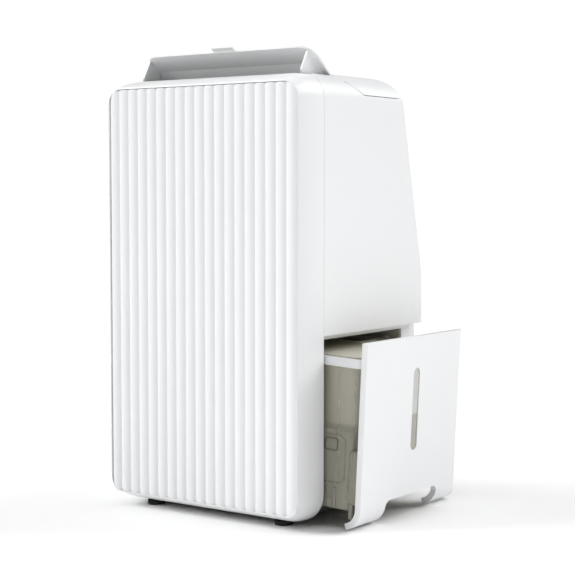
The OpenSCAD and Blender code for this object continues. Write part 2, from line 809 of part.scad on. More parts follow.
// serpentine tube of a coil
module serpentine(y) {
  for (i = [0 : tube_runs - 1]) translate([-tube_end, y, tube_z(i)]) rotate([0, 90, 0])
    cylinder(h = 2 * tube_end, r = tube_r);
  // bends, brazed into sleeves on the straight runs
  for (i = [0 : tube_runs - 2]) {
    s = i % 2 == 0 ? -1 : 1;
    translate([s * (tube_end + 0.5), y, tube_z(i) + tube_pitch / 2])
      rotate([90, 0, 0]) rotate(s > 0 ? -90 : 90)
      rotate_extrude(angle = 180) translate([tube_pitch / 2, 0]) circle(tube_r);
    for (k = [i, i + 1]) translate([s * (tube_end - 2.5), y, tube_z(k)]) rotate([0, s * 90, 0])
      cylinder(h = 4, r = tube_r + 0.5);
  }
}

module evaporator_fins() {
  color("silver") fin_block(evap_y0);
}

module evaporator_tubes() {
  color("peru") serpentine(mid_evap);
}

module condenser_fins() {
  color("silver") fin_block(cond_y0);
}

module condenser_tubes() {
  color("peru") serpentine(mid_cond);
}

module drip_tray() {
  y0 = cond_y0 - 3;
  y1 = evap_y1 + 3;
  x1 = coil_w / 2 + 2;
  h = coil_z0 - tray_z - gap;
  color("gainsboro") difference() {
    union() {
      block([-x1, y0, tray_z], [x1, y1, tray_z + h]);
      translate([spout_x, spout_y, bay_top - 5]) cylinder(h = tray_z - bay_top + 6, r = spout_r);
      translate([spigot_x, y1 - 1, spigot_z]) rotate([-90, 0, 0]) cylinder(h = 5, r = spigot_r + 3);
    }
    block([-x1 + 2, y0 + 2, tray_z + 2], [x1 - 2, y1 - 2, tray_z + h + 1]);
    translate([spout_x, spout_y, 0]) cylinder(h = body_h, r = spout_r - 2);
    translate([spigot_x, y1 - 5, spigot_z]) rotate([-90, 0, 0]) cylinder(h = 12, r = spigot_r - 1.5);
  }
}

// ---- air path

module air_guide() {
  x1 = coil_w / 2;
  z1 = coil_z1;
  y0 = scroll_y1 + gap;
  y1 = cond_y0 - gap;
  color("whitesmoke") difference() {
    block([-x1, y0, coil_z0], [x1, y1, z1]);
    block([-x1 + 2, y0 + 2, coil_z0 + 2], [x1 - 2, y1 + 1, z1 - 2]);
    translate([fan_x, y0 - 1, fan_z]) rotate([-90, 0, 0]) cylinder(h = 5, r = fan_r - 13);
  }
}

// outline of the scroll: round casing flaring up to the outlet
module scroll_outline(t) {
  r = scroll_r - t;
  translate([fan_x, fan_z]) circle(r);
  polygon([[fan_x - r, fan_z], [fan_x + r, fan_z], [fan_x + r, fan_z + 50],
    [outlet_half - t - 4, scroll_top - 18 + t], [outlet_half - t - 4, scroll_top + (t > 0 ? 5 : 0)],
    [-outlet_half + t + 4, scroll_top + (t > 0 ? 5 : 0)], [-outlet_half + t + 4, scroll_top - 18 + t],
    [fan_x - r, fan_z + 50]]);
}

module scroll_front() {
  color("whitesmoke") difference() {
    along_y(scroll_y0, scroll_mid - scroll_y0) scroll_outline(0);
    along_y(scroll_y0 + 2, fan_d) scroll_outline(2);
    translate([fan_x, scroll_y0 - 1, fan_z]) rotate([-90, 0, 0]) cylinder(h = 10, r = 15);
  }
}

module scroll_rear() {
  color("whitesmoke") difference() {
    along_y(scroll_mid + gap, scroll_y1 - scroll_mid - gap) scroll_outline(0);
    along_y(scroll_mid - 5, scroll_y1 - scroll_mid + 3) scroll_outline(2);
    translate([fan_x, scroll_y1 - 5, fan_z]) rotate([-90, 0, 0]) cylinder(h = 10, r = fan_r - 12);
  }
}

module impeller() {
  y0 = scroll_y0 + 7;
  color("dimgray") translate([fan_x, y0, fan_z]) rotate([-90, 0, 0]) difference() {
    union() {
      cylinder(h = 2, r = fan_r);
      cylinder(h = fan_d * 0.6, r = 12);
      for (i = [0 : blade_count - 1]) rotate(i * 360 / blade_count) translate([fan_r - 11, 0, 1])
        rotate(25) translate([0, -0.6, 0]) cube([10, 1.2, fan_d - 2]);
      translate([0, 0, fan_d - 3]) difference() {
        cylinder(h = 3, r = fan_r);
        translate([0, 0, -1]) cylinder(h = 5, r = fan_r - 7);
      }
    }
    translate([0, 0, -1]) cylinder(h = fan_d, r = shaft_r + run_fit);
  }
}

module fan_motor() {
  color("silver") translate([fan_x, scroll_y0 - gap, fan_z]) rotate([90, 0, 0]) {
    cylinder(h = 2.5, r = 46);
    cylinder(h = outlet_y0 - y_front - 14 + 2.5, r = 38);
    translate([0, 0, -7 - gap - fan_d * 0.6 - 3]) cylinder(h = 7 + gap + fan_d * 0.6 + 4, r = shaft_r);
  }
}

// ---- electrics

module capacitor() {
  color("silver") translate([bay_x0 - wall - 26, acc_y - 2, pan_z + gap]) {
    cylinder(h = 62, r = 17);
    for (x = [-1, 1]) translate([x * 6 - 1, -3, 61]) cube([2, 6, 9]);
  }
}

module power_box() {
  color("gray") difference() {
    block([box_x0, box_y0, box_z0], [box_x1, box_y1, box_z1]);
    block([box_x0 + 2, box_y0 - 1, box_z0 + 2], [box_x1 - 2, box_y1 - 2, box_z1 - 2]);
  }
}

module power_box_lid() {
  color("silver") {
    block([box_x0, box_y0 - 2.2, box_z0], [box_x1, box_y0 - 0.2, box_z1]);
    block([box_x0 + 2.4, box_y0 - 0.5, box_z0 + 10], [box_x0 + 4, box_y0 + 5, box_z1 - 10]);
  }
}

module humidity_sensor() {
  x = pipe_x;
  z = coil_z0 + 110;
  color("darkgreen") {
    block([x, mid_evap - 10, z], [x + 1.6, mid_evap + 10, z + 30]);
    block([x - 3, mid_evap - 5, z + 10], [x + 0.5, mid_evap + 5, z + 22]);
  }
}

module float_switch() {
  color("black") {
    block([bail_x + 14, y_part - 12, 118], [bail_x + 36, y_part - 0.5 - wall - gap, 132]);
    block([bail_x + 20, y_part - 16, 122], [bail_x + 30, y_part - 11, 128]);
  }
}

// ---- water tank, modelled closed and upright

// tank outline from above at one of its two levels, t inside its skin
module tank_outline(step, t) {
  rrect(tank_x0 + t, tank_y0 + step + t, tank_x1 - t, tank_y1 - t, 12 - t);
}

module tank_body() {
  color([0.80, 0.79, 0.74, 0.6]) drawn() difference() {
    union() {
      difference() {
        union() {
          translate([0, 0, tank_z0]) linear_extrude(tank_break - tank_z0) tank_outline(0, 0);
          translate([0, 0, tank_z0]) linear_extrude(tank_h) tank_outline(tank_step, 0);
        }
        translate([0, 0, tank_z0 + tank_wall]) linear_extrude(tank_break - tank_z0 - 2 * tank_wall)
          tank_outline(0, tank_wall);
        translate([0, 0, tank_z0 + tank_wall]) linear_extrude(tank_h) tank_outline(tank_step, tank_wall);
      }
      // ribs that carry the cover
      for (y = [tank_y0 + 16, tank_y1 - 16])
        block([tank_x1 - 0.5, y - 2, tank_z0 + 8], [cover_x0 - 0.1, y + 2, 110]);
      // upright channel at the front corner
      block([tank_x1 - 8, tank_y0 + 0.6, 31], [cover_x0 - 0.1, tank_y0 + 12, 92]);
      block([tank_x1 - 4, tank_y0 + 0.6, 16], [tank_x1 + 1, tank_y0 + 12, 32]);
      // lugs of the float, on the inside of the front wall
      for (y = [tank_y0 + tank_step + 1, tank_y0 + tank_step + 24])
        block([float_x - 5, y, float_z - 5], [float_x + 5, y + 3, float_z + 5]);
      block([float_x - 5, tank_y0 + tank_step + 1, float_z + 4],
            [float_x + 5, tank_y0 + tank_step + 27, float_z + 6]);
    }
    // bores of the bail and of the float
    for (y = [tank_y0, tank_y1 - 6]) translate([bail_x, y, bail_z]) rotate([-90, 0, 0])
      cylinder(h = 20, r = bail_pin_r + run_fit);
    translate([float_x, tank_y0 + tank_step + 2.5, float_z]) rotate([-90, 0, 0])
      cylinder(h = 40, r = float_pin_r + run_fit);
    // pin hole in the channel's tongue
    translate([tank_x1 - 1.5, tank_y0, 19.5]) rotate([-90, 0, 0]) cylinder(h = 20, r = 1.5);
  }
}

module tank_lid() {
  z = tank_z1 + gap / 2;
  color([0.85, 0.84, 0.8, 0.7]) drawn() difference() {
    union() {
      translate([0, 0, z]) linear_extrude(lid_t) tank_outline(tank_step, 0.5);
      translate([0, 0, z - 5]) linear_extrude(6) difference() {
        tank_outline(tank_step, tank_wall + 0.3);
        tank_outline(tank_step, tank_wall + 2.3);
      }
      translate([0, 0, z]) linear_extrude(lid_t + 1.5) difference() {
        rrect(spout_x - 26, spout_y - 20, spout_x + 26, spout_y + 20, 6);
        rrect(spout_x - 24, spout_y - 18, spout_x + 24, spout_y + 18, 5);
      }
    }
    translate([0, 0, z - 10]) linear_extrude(20)
      rrect(spout_x - 24, spout_y - 18, spout_x + 24, spout_y + 18, 5);
  }
}

// side outline of the cover in X and Z: a flat wall that curls in under the cabinet
module cover_outline() {
  zc = cover_bottom + cover_r;
  xc = half_w - cover_r;
  turn = 75;
  polygon(concat(
    [[half_w, cover_top]],
    [for (i = [0 : 12]) let (a = -turn * i / 12) [xc + cover_r * cos(a), zc + cover_r * sin(a)]],
    [for (i = [0 : 12]) let (a = -turn * (1 - i / 12))
      [xc + (cover_r - cover_t) * cos(a), zc + (cover_r - cover_t) * sin(a)]],
    [[cover_x0, cover_top]]));
}

module tank_cover() {
  color("white") drawn() difference() {
    intersection() {
      along_y(cover_y0, cover_y1 - cover_y0) cover_outline();
      // back edge follows the cabinet's corner
      linear_extrude(body_h) rrect(-half_w, cover_y0 - 50, half_w + 0.05, cover_y1, rear_r);
    }
    // grip cut-out
    along_x(cover_x0 - 40, 60) rrect(grip_y0, cover_bottom - 20, grip_y1, grip_z, 8);
    // level window
    along_x(cover_x0 - 1, cover_t + 5)
      rrect(window_y - window_w / 2, window_z1 - window_l,
            window_y + window_w / 2, window_z1, window_w / 2 - 0.01);
  }
}

module tank_window() {
  color([0.75, 0.75, 0.72, 0.5]) drawn() {
    along_x(cover_x0 + 1, cover_t - 2) rrect(window_y - window_w / 2 + 0.2, window_z1 - window_l + 0.2,
      window_y + window_w / 2 - 0.2, window_z1 - 0.2, window_w / 2 - 0.21);
    along_x(cover_x0 - 1.6, 1.5) rrect(window_y - window_w / 2 - 3, window_z1 - window_l - 3,
      window_y + window_w / 2 + 3, window_z1 + 3, window_w / 2 + 2.99);
  }
}

module tank_handle() {
  x1 = tank_x1 + 5;
  ya = tank_y0 + tank_step - bail_gap - bail_t;
  yb = tank_y1 + bail_gap;
  pin_l = bail_gap + tank_wall + 1;
  color("white") drawn() {
    translate([0, 0, bail_z - bail_h / 2]) linear_extrude(bail_h) difference() {
      rrect(bail_x - 30, ya, x1, yb + bail_t, 6);
      translate([-50, 0]) rrect(bail_x - 30, ya + bail_t, x1 - bail_t + 50, yb, 3);
      translate([bail_x - 40, ya - 1]) square([32, yb - ya + bail_t + 2]);
    }
    // eyes and pins
    for (y = [ya, yb]) translate([bail_x, y, bail_z]) rotate([-90, 0, 0]) cylinder(h = bail_t, r = 8);
    translate([bail_x, ya + bail_t - 1, bail_z]) rotate([-90, 0, 0]) cylinder(h = pin_l, r = bail_pin_r);
    translate([bail_x, yb + 1 - pin_l, bail_z]) rotate([-90, 0, 0]) cylinder(h = pin_l, r = bail_pin_r);
  }
}

module float() {
  color("whitesmoke") drawn() translate([float_x, 0, float_z]) rotate([0, -45, 0]) difference() {
    union() {
      rotate([-90, 0, 0]) translate([0, 0, float_y0 - 0.5]) cylinder(h = 22.5, r = float_pin_r);
      rotate([-90, 0, 0]) translate([0, 0, float_y0 + 3]) cylinder(h = 14, r = 4);
      block([-float_len + 5, float_y0 + 7, -2], [0, float_y0 + 13, 2]);
      translate([-float_len - 12, float_y0 + 1, -9]) cube([22, 18, 18]);
    }
    translate([-float_len - 1, float_y0, 0]) rotate([-90, 0, 0]) cylinder(h = 8, r = 4);
  }
}

module float_magnet() {
  color("dimgray") drawn() translate([float_x, 0, float_z]) rotate([0, -45, 0])
    translate([-float_len - 1, float_y0 + 1.5, 0]) rotate([-90, 0, 0]) cylinder(h = 6, r = 3.95);
}

// ---- rear fittings

module drain_spigot() {
  y0 = evap_y1 + 7.5;
  color("whitesmoke") translate([spigot_x, 0, spigot_z]) rotate([-90, 0, 0]) difference() {
    union() {
      translate([0, 0, y0]) cylinder(h = spigot_y - y0, r = spigot_r);
      translate([0, 0, y0]) cylinder(h = 2, r = spigot_r + 3);
      // collar that the hose stops at
      translate([0, 0, spigot_y - spigot_l - 1.2]) cylinder(h = 1.2, r = spigot_r + 1.2);
    }
    translate([0, 0, y0 - 1]) cylinder(h = spigot_y - y0 + 2, r = spigot_r - 1.5);
  }
}

// rubber stopper in the spigot's bore, with a ring to pull it by
module drain_plug() {
  color("dimgray") translate([spigot_x, spigot_y, spigot_z]) rotate([-90, 0, 0]) {
    translate([0, 0, -9]) cylinder(h = 9.2, r = spigot_r - 1.5 - run_fit);
    translate([0, 0, 0.2]) cylinder(h = 1.6, r = spigot_r - 0.4);
    translate([-1, -4, 1.5]) cube([2, 8, 3]);
  }
}

module cord_gland() {
  color("dimgray") translate([gland_x, y_rear, gland_z]) rotate([-90, 0, 0]) difference() {
    union() {
      translate([0, 0, -wall - 3]) cylinder(h = wall + 3, r = cord_r + 3);
      translate([0, 0, -wall - 5]) cylinder(h = 5 - gap, r = cord_r + 5.5);
    }
    translate([0, 0, -30]) cylinder(h = 60, r = cord_r);
  }
}

module housing_screws() {
  color("silver") for (x = screw_xs) translate([x, y_rear, screw_z]) rotate([90, 0, 0]) {
    cylinder(h = 14, r = 1.9);
    translate([0, 0, -screw_head]) cylinder(h = screw_head, r = 3.6);
  }
}

translate(place) front_panel();
translate(place) front_bezel();
translate(place) body_shell();
translate(place) base_pan();
translate(place) feet();
translate(place) tank_bay();
translate(place) rear_grille();
translate(place) filter_frame();
translate(place) filter_mesh();
translate(place) outlet_frame();
translate(place) flap();
translate(place) control_panel();
translate(place) display_window();
translate(place) control_board();
translate(place) button(0);  // button_power
translate(place) button(1);  // button_mode
translate(place) button(2);  // button_fan
translate(place) button(3);  // button_humidity
translate(place) button(4);  // button_timer
translate(place) carry_handle();
translate(place) handle_pins();
translate(place) compressor();
translate(place) accumulator();
translate(place) compressor_grommets();
translate(place) compressor_studs();
translate(place) suction_pipe();
translate(place) discharge_pipe();
translate(place) capillary_pipe();
translate(place) evaporator_fins();
translate(place) evaporator_tubes();
translate(place) condenser_fins();
translate(place) condenser_tubes();
translate(place) drip_tray();
translate(place) air_guide();
translate(place) scroll_front();
translate(place) scroll_rear();
translate(place) impeller();
translate(place) fan_motor();
translate(place) capacitor();
translate(place) power_box();
translate(place) power_box_lid();
translate(place) humidity_sensor();
translate(place) tank_body();
translate(place) tank_lid();
translate(place) tank_cover();
translate(place) tank_window();
translate(place) tank_handle();
translate(place) float();
translate(place) float_magnet();
translate(place) float_switch();
translate(place) drain_spigot();
translate(place) drain_plug();
translate(place) cord_gland();
translate(place) housing_screws();
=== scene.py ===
"""Looks of a free-standing dehumidifier: fluted front, tilting outlet flap, water tank drawn out."""

import math

import bmesh
import bpy
from mathutils import Matrix, Vector


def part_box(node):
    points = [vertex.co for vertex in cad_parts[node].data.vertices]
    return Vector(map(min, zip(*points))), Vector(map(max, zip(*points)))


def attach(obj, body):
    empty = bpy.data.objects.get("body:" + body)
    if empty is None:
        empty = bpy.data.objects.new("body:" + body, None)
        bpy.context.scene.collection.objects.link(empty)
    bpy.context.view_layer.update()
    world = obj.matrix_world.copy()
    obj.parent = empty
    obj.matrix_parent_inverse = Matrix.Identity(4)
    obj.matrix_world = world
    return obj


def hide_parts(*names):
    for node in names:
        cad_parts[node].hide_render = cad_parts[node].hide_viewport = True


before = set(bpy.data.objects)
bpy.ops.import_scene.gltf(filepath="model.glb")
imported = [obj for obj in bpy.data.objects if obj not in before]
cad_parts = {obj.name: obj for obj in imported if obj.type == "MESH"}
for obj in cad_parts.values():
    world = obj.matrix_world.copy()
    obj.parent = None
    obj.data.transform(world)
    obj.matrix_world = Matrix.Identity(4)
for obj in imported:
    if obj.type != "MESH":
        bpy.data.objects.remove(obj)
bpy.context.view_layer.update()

# Camera: three quarters of the way up the cabinet and off to the tank's side, looking slightly down
# on a long lens, so that upright edges stay almost parallel. It is placed about the middle of the
# cabinet, and so is every piece before it is moved to where the cabinet stands.
MM = 0.001
CABINET_WIDTH = 280 * MM
CABINET_FRONT = 132 * MM
EYE = Vector((1.02941, -1.40006, 0.36991))
LOOK_DOWN = 3.796
LOOK_TURN = 35.594
cabinet_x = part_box("front_bezel")[1].x - CABINET_WIDTH / 2
cabinet_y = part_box("front_panel")[0].y + CABINET_FRONT
place = Vector((cabinet_x, cabinet_y, 0))
lens = bpy.data.cameras.new("camera")
lens.lens = 91.44
lens.sensor_width = 36.0
camera = bpy.data.objects.new("camera", lens)
camera.location = EYE + place
camera.rotation_euler = (math.radians(90 - LOOK_DOWN), 0, math.radians(LOOK_TURN))
bpy.context.scene.collection.objects.link(camera)
bpy.context.scene.camera = camera


# Studio: a seamless white sweep under very soft daylight. One broad light comes from far front left,
# one from behind the tank's side and one from straight above, so the front edge stays the darkest.
def to_linear(code):
    """Linear colour of an sRGB hex code such as #f3f4f5."""
    channels = [int(code[i : i + 2], 16) / 255 for i in (1, 3, 5)]
    return tuple(c / 12.92 if c <= 0.04045 else ((c + 0.055) / 1.055) ** 2.4 for c in channels) + (1.0,)


def add(tree, kind, links=(), **settings):
    """Add a shader node; settings fill its properties or its inputs, links are (input, output socket)."""
    node = tree.nodes.new(kind)
    for key, value in settings.items():
        if hasattr(node, key):
            setattr(node, key, value)
        else:
            node.inputs[key.replace("_", " ")].default_value = value
    for target, source in links:
        tree.links.new(source, node.inputs[target])
    return node


ROOM_LIGHT = 0.18
ROOM_SEEN = 1.05
SWEEP_HALF = 60.0
bpy.context.scene.view_settings.view_transform = "Standard"
world = bpy.data.worlds.new("white_room")
world.use_nodes = True
room = world.node_tree
room.nodes["Background"].inputs["Color"].default_value = to_linear("#ffffff")
seen = add(room, "ShaderNodeLightPath").outputs["Is Camera Ray"]
level = add(room, "ShaderNodeMapRange", [("Value", seen)], To_Min=ROOM_LIGHT, To_Max=ROOM_SEEN)
room.links.new(level.outputs["Result"], room.nodes["Background"].inputs["Strength"])
bpy.context.scene.world = world


def daylight(name, azimuth, elevation, share, spread):
    """Broad distant light; share is the part of full white that it gives a surface facing it."""
    light = bpy.data.lights.new(name, "SUN")
    light.energy = share * math.pi
    light.angle = math.radians(spread)
    lamp = bpy.data.objects.new(name, light)
    a, e = math.radians(azimuth), math.radians(elevation)
    towards = Vector((math.sin(a) * math.cos(e), -math.cos(a) * math.cos(e), math.sin(e)))
    lamp.rotation_euler = towards.to_track_quat("Z", "Y").to_euler()
    bpy.context.scene.collection.objects.link(lamp)


daylight("front_left_light", azimuth=-56, elevation=35, share=0.58, spread=34)
daylight("tank_side_light", azimuth=140, elevation=35, share=0.50, spread=34)
daylight("top_light", azimuth=0, elevation=90, share=0.41, spread=75)

sweep_mesh = bmesh.new()
bmesh.ops.create_grid(sweep_mesh, x_segments=2, y_segments=2, size=SWEEP_HALF)
sweep_data = bpy.data.meshes.new("floor_sweep")
sweep_mesh.to_mesh(sweep_data)
sweep_mesh.free()
sweep = bpy.data.objects.new("floor_sweep", sweep_data)
bpy.context.scene.collection.objects.link(sweep)
paper = bpy.data.materials.new("matt_backdrop_paper")
paper.use_nodes = True
paper.node_tree.nodes["Principled BSDF"].inputs["Base Color"].default_value = to_linear("#ffffff")
paper.node_tree.nodes["Principled BSDF"].inputs["Roughness"].default_value = 0.9
sweep_data.materials.append(paper)


# Moulded ABS, the plastic of nearly every part of the case: a fine spark-eroded grain gives a
# satin sheen, and the white drifts very slightly from one area to the next.
def moulded(name, colour, roughness, grain_mm=0.5, grain_depth_mm=0.012, drift=0.03, coat=0.0):
    """Material of a moulded plastic part, with its grain and slight change of tone."""
    material = bpy.data.materials.new(name)
    material.use_nodes = True
    tree = material.node_tree
    shader = tree.nodes["Principled BSDF"]
    shader.inputs["IOR"].default_value = 1.53
    shader.inputs["Coat Weight"].default_value = coat
    spot = add(tree, "ShaderNodeTexCoord").outputs["Object"]
    broad = add(tree, "ShaderNodeTexNoise", [("Vector", spot)], Scale=7.0, Detail=3.0)
    tint = add(tree, "ShaderNodeMix", [("Factor", broad.outputs["Fac"])], data_type="RGBA")
    light = to_linear(colour)
    tint.inputs[6].default_value = tuple(c * (1 - drift) for c in light[:3]) + (1.0,)
    tint.inputs[7].default_value = light
    tree.links.new(tint.outputs[2], shader.inputs["Base Color"])
    fine = add(tree, "ShaderNodeTexNoise", [("Vector", spot)], Scale=1 / (grain_mm * MM), Detail=2.0)
    shine = add(tree, "ShaderNodeMapRange", [("Value", fine.outputs["Fac"])],
                To_Min=roughness - 0.05, To_Max=roughness + 0.05)
    tree.links.new(shine.outputs["Result"], shader.inputs["Roughness"])
    bump = add(tree, "ShaderNodeBump", [("Height", fine.outputs["Fac"])],
               Strength=0.5, Distance=grain_depth_mm * MM)
    tree.links.new(bump.outputs["Normal"], shader.inputs["Normal"])
    return material


def new_object(name, bm, material, smooth_angle):
    """Object of a finished bmesh, shaded smooth up to an angle, in its place in the cabinet."""
    bmesh.ops.translate(bm, vec=place, verts=bm.verts)
    bmesh.ops.recalc_face_normals(bm, faces=bm.faces)
    data = bpy.data.meshes.new(name)
    bm.to_mesh(data)
    bm.free()
    data.materials.append(material)
    data.shade_smooth()
    data.set_sharp_from_angle(angle=math.radians(smooth_angle))
    obj = bpy.data.objects.new(name, data)
    bpy.context.scene.collection.objects.link(obj)
    return obj


white_abs = moulded("white_abs_spark_grain", "#f4f5f6", 0.36)

# Front panel: one ABS moulding with nineteen shallow convex ribs that meet in sharp valleys. It
# snaps into the bezel, and its edge rolls back all round.
RIBS = 19
RIB_RISE = 1.9 * MM
RIB_STEPS = 14
PANEL_THICK = 3 * MM
PANEL_CORNER = 12 * MM
PANEL_ROLL = 1.6 * MM


def cabinet_box(node):
    """Lowest and highest corners of a worked-out piece, measured from the middle of the cabinet."""
    low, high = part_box(node)
    return Vector(low) - place, Vector(high) - place


front_low, front_high = cabinet_box("front_panel")
half_panel = front_high.x
rib_pitch = 2 * half_panel / RIBS
y_front = front_low.y
panel_back = y_front + RIB_RISE + PANEL_THICK

corner_x = half_panel - PANEL_CORNER
n_straight = int(2 * corner_x / rib_pitch * RIB_STEPS) + 1
straight = [-corner_x + i * rib_pitch / RIB_STEPS for i in range(n_straight)]
arc = [corner_x + PANEL_CORNER * math.sin(math.radians(a)) for a in range(0, 91, 6)]
columns = sorted(set(round(x, 7) for x in [-x for x in arc] + straight[1:] + arc))
rows = [r * MM for r in (0, 0.35, 0.8, 1.3, 2.0, 3.0)]
n_rows = 2 * len(rows)


def panel_reach(x):
    """How far the rounded corner pulls the panel's top and bottom edge in at a place across it."""
    over = max(abs(x) - corner_x, 0)
    return PANEL_CORNER - math.sqrt(max(PANEL_CORNER**2 - over**2, 0))


def rib_height(x):
    """Depth of the fluted face behind its foremost line."""
    u = ((x + half_panel) / rib_pitch) % 1.0
    return RIB_RISE * (2 * u - 1) ** 2


bm = bmesh.new()
bmesh.ops.create_grid(bm, x_segments=len(columns) - 1, y_segments=n_rows - 1, size=1.0)
bm.verts.ensure_lookup_table()
for index, vert in enumerate(bm.verts):
    column, row = index % len(columns), index // len(columns)
    x = columns[column]
    low = front_low.z + panel_reach(x)
    high = front_high.z - panel_reach(x)
    z = low + rows[row] if row < len(rows) else high - rows[n_rows - 1 - row]
    edge = min(z - low, high - z, half_panel - abs(x))
    roll = max(PANEL_ROLL - edge, 0)
    y = y_front + rib_height(x) + PANEL_ROLL - math.sqrt(max(PANEL_ROLL**2 - roll**2, 0))
    vert.co = (x, y, z)
rim = bmesh.ops.extrude_edge_only(bm, edges=[e for e in bm.edges if e.is_boundary])
rim_verts = [g for g in rim["geom"] if isinstance(g, bmesh.types.BMVert)]
for vert in rim_verts:
    vert.co.y = panel_back
bmesh.ops.contextual_create(bm, geom=[e for e in bm.edges if e.is_boundary])
panel = new_object("fluted_front_panel", bm, white_abs, 28)
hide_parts("front_panel")
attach(panel, "root")


# Bezel: a deep picture frame whose face swells back from the panel to the sides. Its top carries
# the front lip of the air outlet, which dips in a soft S over the width of the flap.
def closed_loop(bm, points):
    """Closed loop through points; returns its edges."""
    verts = [bm.verts.new(point) for point in points]
    return [bm.edges.new(pair) for pair in zip(verts, verts[1:] + verts[:1])]


def rounded_loop(bm, half_x, z0, z1, r, y, per_corner=12, per_side=28):
    """Closed loop on a rounded rectangle seen from the front; returns its edges."""
    x_in, z_low, z_high = half_x - r, z0 + r, z1 - r
    corners = [(x_in, z_high, 0), (-x_in, z_high, 90), (-x_in, z_low, 180), (x_in, z_low, 270)]
    points = []
    for i, (cx, cz, turn) in enumerate(corners):
        for k in range(per_corner + 1):
            a = math.radians(turn + 90 * k / per_corner)
            points.append((cx + r * math.cos(a), cz + r * math.sin(a)))
        nx, nz, nturn = corners[(i + 1) % 4]
        end = (nx + r * math.cos(math.radians(nturn)), nz + r * math.sin(math.radians(nturn)))
        start = points[-1]
        run_x, run_z = end[0] - start[0], end[1] - start[1]
        points += [(start[0] + run_x * k / per_side, start[1] + run_z * k / per_side)
                   for k in range(1, per_side)]
    return closed_loop(bm, [(x, y, z) for x, z in points])


def skin(bm, loops, closed):
    """Bridge a chain of edge loops, and the last to the first on a closed form."""
    pairs = list(zip(loops, loops[1:])) + ([(loops[-1], loops[0])] if closed else [])
    for a, b in pairs:
        bmesh.ops.bridge_loops(bm, edges=a + b)


BODY_TOP = 500 * MM
FOOT_GAP = 5 * MM
RIM_IN = 5.4 * MM
RIM_DEEP = 40 * MM
RIM_RATIO = 12 / 5.4
EDGE_R = 32 * MM
EDGE_TIGHTENS = 2.2
EDGE_R_LEAST = 6 * MM
SHELL_WALL = 2.5 * MM
FIT_GAP = 0.3 * MM
PANEL_LEDGE = 12 * MM
PANEL_GAP = 0.35 * MM
rim_r = (RIM_DEEP**2 + RIM_IN**2) / (2 * RIM_IN)
bezel_high = cabinet_box("front_bezel")[1]
half_w = bezel_high.x
y_part = bezel_high.y


def bezel_loop(bm, deep, inside=0.0, extra=0.0):
    """Loop of the bezel's skin at a depth behind its front, inside its outer face."""
    inset = rim_r - math.sqrt(rim_r**2 - max(RIM_DEEP - deep, 0) ** 2) + extra
    rise = inset * RIM_RATIO
    r = max(EDGE_R - EDGE_TIGHTENS * inset - inside, EDGE_R_LEAST)
    return rounded_loop(bm, half_w - inset - inside, FOOT_GAP + rise + inside,
                        BODY_TOP - rise - inside, r, y_front + deep)


bm = bmesh.new()
seat = panel_back - y_front + FIT_GAP
depth = y_part - y_front
loops = [bezel_loop(bm, 0.0, extra=0.55 * MM), bezel_loop(bm, 0.35 * MM, extra=0.12 * MM)]
loops += [bezel_loop(bm, d * MM) for d in (1.0, 2.2, 4, 6.5, 9.5, 13, 17, 21.5, 26.5, 32, 37)]
loops += [bezel_loop(bm, depth - 0.5 * MM), bezel_loop(bm, depth, inside=0.4 * MM)]
loops += [bezel_loop(bm, deep, inside=SHELL_WALL) for deep in (depth, seat + 14 * MM, seat + SHELL_WALL)]
for grow, deep in ((-PANEL_LEDGE, seat + SHELL_WALL), (-PANEL_LEDGE, seat),
                   (PANEL_GAP, seat), (PANEL_GAP, 0.4 * MM)):
    loops.append(rounded_loop(bm, half_panel + grow, front_low.z - grow, front_high.z + grow,
                              PANEL_CORNER + max(grow, 0), y_front + deep))
skin(bm, loops, True)


def ease(t):
    """Smooth step from 0 to 1."""
    t = min(max(t, 0), 1)
    return t * t * (3 - 2 * t)


DIP = 2.4 * MM
DIP_HALF = 112 * MM
DIP_FADE = 20 * MM
DIP_START = 487 * MM
DIP_REACH = 12 * MM
for vert in bm.verts:
    across = 1 - ease((abs(vert.co.x) - DIP_HALF) / DIP_FADE)
    vert.co.z -= DIP * across * ease((vert.co.z - DIP_START) / DIP_REACH)
bezel = new_object("front_bezel_shell", bm, white_abs, 32)

# Mouth of the bezel: the outlet frame drops into it from above with a small gap all round. It is
# cut through the top wall after the shell is shaped, and its corners are slightly rounded.
MOUTH_LOW = 460 * MM
MOUTH_HIGH = 520 * MM
MOUTH_ROUND = 1.2 * MM
outlet_low, outlet_high = cabinet_box("outlet_frame")
mouth_half = outlet_high.x + FIT_GAP
mouth_start = Vector((-mouth_half, outlet_low.y - FIT_GAP, MOUTH_LOW))
mouth_end = Vector((mouth_half, y_part + 20 * MM, MOUTH_HIGH))
mouth = bmesh.new()
bmesh.ops.create_cube(mouth, size=1.0)
bmesh.ops.scale(mouth, vec=mouth_end - mouth_start, verts=mouth.verts)
bmesh.ops.translate(mouth, vec=(mouth_start + mouth_end) / 2 + place, verts=mouth.verts)
bmesh.ops.bevel(mouth, geom=list(mouth.edges), offset=MOUTH_ROUND, segments=4, profile=0.5,
                affect="EDGES", material=-1, clamp_overlap=True)
mouth_data = bpy.data.meshes.new("outlet_mouth_cut")
mouth.to_mesh(mouth_data)
mouth.free()
mouth_tool = bpy.data.objects.new("outlet_mouth_cut", mouth_data)
bpy.context.scene.collection.objects.link(mouth_tool)
saw = bezel.modifiers.new("outlet_mouth_cut", "BOOLEAN")
saw.operation = "DIFFERENCE"
saw.solver = "EXACT"
saw.object = mouth_tool
cut_bezel = bezel.evaluated_get(bpy.context.evaluated_depsgraph_get())
cut_data = bpy.data.meshes.new_from_object(cut_bezel)
bezel.modifiers.clear()
bezel.data = cut_data
bpy.data.objects.remove(mouth_tool)
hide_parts("front_bezel")
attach(bezel, "root")


